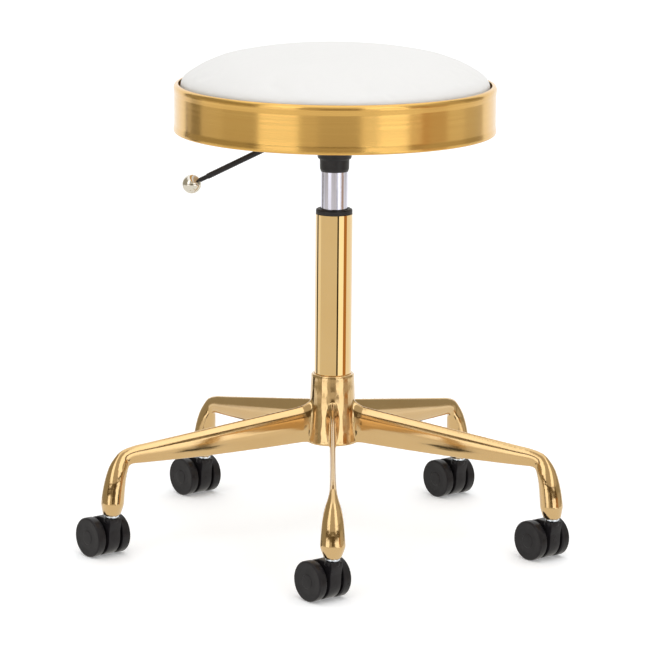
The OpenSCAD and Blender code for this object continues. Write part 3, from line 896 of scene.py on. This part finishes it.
def make_camera():
    """A long lens, a little above the seat, looking down at the stool."""
    camera = bpy.data.objects.new("camera", bpy.data.cameras.new("camera"))
    camera.data.lens = CAMERA_LENS
    camera.data.sensor_width = SENSOR_WIDTH
    camera.data.clip_end = FAR_CLIP
    pitch, pan, roll = (math.radians(a) for a in (CAMERA_PITCH, CAMERA_PAN, CAMERA_ROLL))
    ahead = Vector((math.sin(pan) * math.cos(pitch), math.cos(pan) * math.cos(pitch), -math.sin(pitch)))
    side = Vector((math.cos(pan), -math.sin(pan), 0))
    up = side.cross(ahead)
    right = side * math.cos(roll) + up * math.sin(roll)
    top = up * math.cos(roll) - side * math.sin(roll)
    place = Matrix((right, top, -ahead)).transposed().to_4x4()
    place.translation = Vector((0, -CAMERA_DISTANCE, CAMERA_HEIGHT))
    camera.matrix_world = Matrix.Rotation(math.radians(-CAMERA_TURN), 4, "Z") @ place
    bpy.context.scene.collection.objects.link(camera)
    bpy.context.scene.camera = camera


FLOOR_SIZE = 30
FLOOR_COLOR = (0.93, 0.94, 0.96, 1)
FLOOR_GLOW = (0.97, 0.98, 1, 1)
FLOOR_STRENGTH = 0.22
BACKDROP_R = 28
BLACK = (0, 0, 0, 1)
WHITE = (1, 1, 1, 1)


def make_floor():
    """A plain pale floor. Metal reflects the studio of make_world in its place."""
    bm = bmesh.new()
    bmesh.ops.create_grid(bm, x_segments=1, y_segments=1, size=FLOOR_SIZE)
    floor = new_object("floor", bm)
    m = Nodes("floor")
    m.set(Base_Color=FLOOR_COLOR, Roughness=0.7, Specular_IOR_Level=0.1)
    m.set(Emission_Color=FLOOR_GLOW, Emission_Strength=FLOOR_STRENGTH)
    floor.data.materials.append(m.material)
    floor.visible_glossy = False


def make_backdrop():
    """A plain white surround that only the camera sees."""
    bm = bmesh.new()
    bmesh.ops.create_icosphere(bm, subdivisions=4, radius=BACKDROP_R)
    backdrop = new_object("backdrop", bm)
    m = Nodes("backdrop")
    m.set(Base_Color=BLACK, Specular_IOR_Level=0.0)
    m.set(Emission_Color=WHITE, Emission_Strength=1.0)
    backdrop.data.materials.append(m.material)
    for rays in ("diffuse", "glossy", "transmission", "shadow", "volume_scatter"):
        setattr(backdrop, "visible_" + rays, False)


SOFTBOX_PLACE = Vector((0.3, -0.6, 2.6))
SOFTBOX_AIM = Vector((0, 0, 0.3))
SOFTBOX_SIZE = 2.2
SOFTBOX_POWER = 9


def make_softbox():
    """A broad soft lamp above the stool. Metal reflects the studio of make_world in its place."""
    data = bpy.data.lights.new("softbox", "AREA")
    data.shape = "RECTANGLE"
    data.size = SOFTBOX_SIZE
    data.size_y = SOFTBOX_SIZE
    data.energy = SOFTBOX_POWER
    light = bpy.data.objects.new("softbox", data)
    light.location = SOFTBOX_PLACE
    light.rotation_euler = (SOFTBOX_AIM - SOFTBOX_PLACE).to_track_quat("-Z", "Y").to_euler()
    light.visible_glossy = False
    light.visible_camera = False
    bpy.context.scene.collection.objects.link(light)


# The studio's walls: each stretch starts at a heading, in degrees to the right of the stool's front,
# and glows in one colour up to the next heading.
LAMP = (1.70, 1.70, 1.69)
GLOW = (1.40, 1.40, 1.37)
PAPER = (1.05, 1.05, 1.03)
TABLE = (0.82, 0.79, 0.73)
ROOM = (0.60, 0.56, 0.48)
DIM = (0.38, 0.35, 0.27)
SHADE = (0.12, 0.09, 0.05)
TIMBER = (0.50, 0.24, 0.08)
GAP = (0.02, 0.012, 0.006)
LOW_WALL = [
    (-180, PAPER), (-126, GAP), (-112, PAPER), (-88, TABLE), (21, GAP), (31, GLOW),
    (64, TIMBER), (87, PAPER)
]
HIGH_WALL = [
    (-180, PAPER), (-134, GAP), (-130, DIM), (-56, LAMP), (-26, ROOM), (21, LAMP),
    (53, ROOM), (105, DIM), (130, PAPER)
]
SKIRTING = [
    (-180, PAPER), (-134, GAP), (-130, DIM), (-56, LAMP), (-26, ROOM), (-12, SHADE), (18, LAMP),
    (53, TIMBER), (70, ROOM), (105, DIM), (130, PAPER)
]
RAIL = [(-180, PAPER), (-134, GAP), (-130, DIM), (-64, SHADE), (64, DIM), (130, PAPER)]
CEILING = (1.20, 1.20, 1.20)
GROUND = (0.92, 0.90, 0.84)
# The elevations, in degrees, between which one stretch of the surround gives way to the next.
GROUND_EDGE = (-13.4, -14.6)
LOW_WALL_TOP = (-9.3, -8.9)
SKIRTING_FOOT = (-7, -5.5)
RAIL_FOOT = (-1, 0.5)
RAIL_TOP = (5, 7.5)
CEILING_EDGE = (38, 58)
BLUR = 1.0
PEAK = 2.0


def make_world():
    """The studio as a surround: lamps and dark gaps by heading, with a pale ceiling and ground.

    A colour ramp holds no colour above 1, so colours are divided by PEAK and the strength makes up for it.
    """
    world = bpy.data.worlds.new("studio")
    world.use_nodes = True
    bpy.context.scene.world = world
    tree = world.node_tree
    add = tree.nodes.new
    link = tree.links.new

    def math_node(operation, a, b=None):
        node = add("ShaderNodeMath")
        node.operation = operation
        for socket, value in zip(node.inputs, (a, b)):
            if isinstance(value, (int, float)):
                socket.default_value = value
            elif value is not None:
                link(value, socket)
        return node.outputs[0]

    def wall(stops, heading):
        """The light of one wall by heading, with each change of colour spread over twice BLUR degrees."""
        node = add("ShaderNodeValToRGB")
        link(heading, node.inputs["Fac"])
        ramp = node.color_ramp
        ramp.interpolation = "LINEAR"
        places = [(0.0, stops[0][1])]
        for (_, before), (degree, color) in zip(stops, stops[1:]):
            places += [((degree - BLUR + 180) / 360, before), ((degree + BLUR + 180) / 360, color)]
        places.append((1.0, stops[-1][1]))
        while len(ramp.elements) < len(places):
            ramp.elements.new(1.0)
        for element, (position, color) in zip(ramp.elements, places):
            element.position = position
            element.color = (*(c / PEAK for c in color), 1)
        return node.outputs["Color"]

    def mix(height, edge, a, b):
        """Goes over from a to b between the two elevations of edge."""
        start, end = edge
        step = add("ShaderNodeMapRange")
        step.interpolation_type = "SMOOTHSTEP"
        step.inputs["From Min"].default_value = math.radians(start)
        step.inputs["From Max"].default_value = math.radians(end)
        link(height, step.inputs["Value"])
        node = add("ShaderNodeMix")
        node.data_type = "RGBA"
        link(step.outputs["Result"], node.inputs["Factor"])
        colors = [s for s in node.inputs if s.type == "RGBA"]
        for socket, value in zip(colors, (a, b)):
            if isinstance(value, tuple):
                socket.default_value = (*(c / PEAK for c in value), 1)
            else:
                link(value, socket)
        return next(s for s in node.outputs if s.type == "RGBA")

    coords = add("ShaderNodeTexCoord")
    split = add("ShaderNodeSeparateXYZ")
    link(coords.outputs["Generated"], split.inputs["Vector"])
    angle = math_node("ARCTAN2", split.outputs["X"], math_node("MULTIPLY", split.outputs["Y"], -1.0))
    heading = math_node("ADD", math_node("DIVIDE", angle, 2 * math.pi), 0.5)
    height = math_node("ARCSINE", split.outputs["Z"])
    lamps = wall(HIGH_WALL, heading)
    foot = mix(height, LOW_WALL_TOP, wall(LOW_WALL, heading), lamps)
    skirted = mix(height, SKIRTING_FOOT, foot, wall(SKIRTING, heading))
    railed = mix(height, RAIL_FOOT, skirted, wall(RAIL, heading))
    walls = mix(height, RAIL_TOP, railed, lamps)
    above = mix(height, CEILING_EDGE, walls, CEILING)
    whole = mix(height, GROUND_EDGE, above, GROUND)
    background = tree.nodes["Background"]
    link(whole, background.inputs["Color"])
    background.inputs["Strength"].default_value = PEAK


dress_cad_nodes()
make_camera()
make_floor()
make_backdrop()
make_world()
make_band()
make_cushion()
make_foam()
make_lift_plate()
make_lift_socket()
make_guide_bush()
make_lever_rod()
make_lever_ball()
make_star()
for number in CASTERS:
    make_stem(number)
    make_caster_body(number)
    make_wheel(number, 1, "outer")
    make_wheel(number, -1, "inner")
make_softbox()

bpy.context.scene.view_settings.view_transform = "Standard"
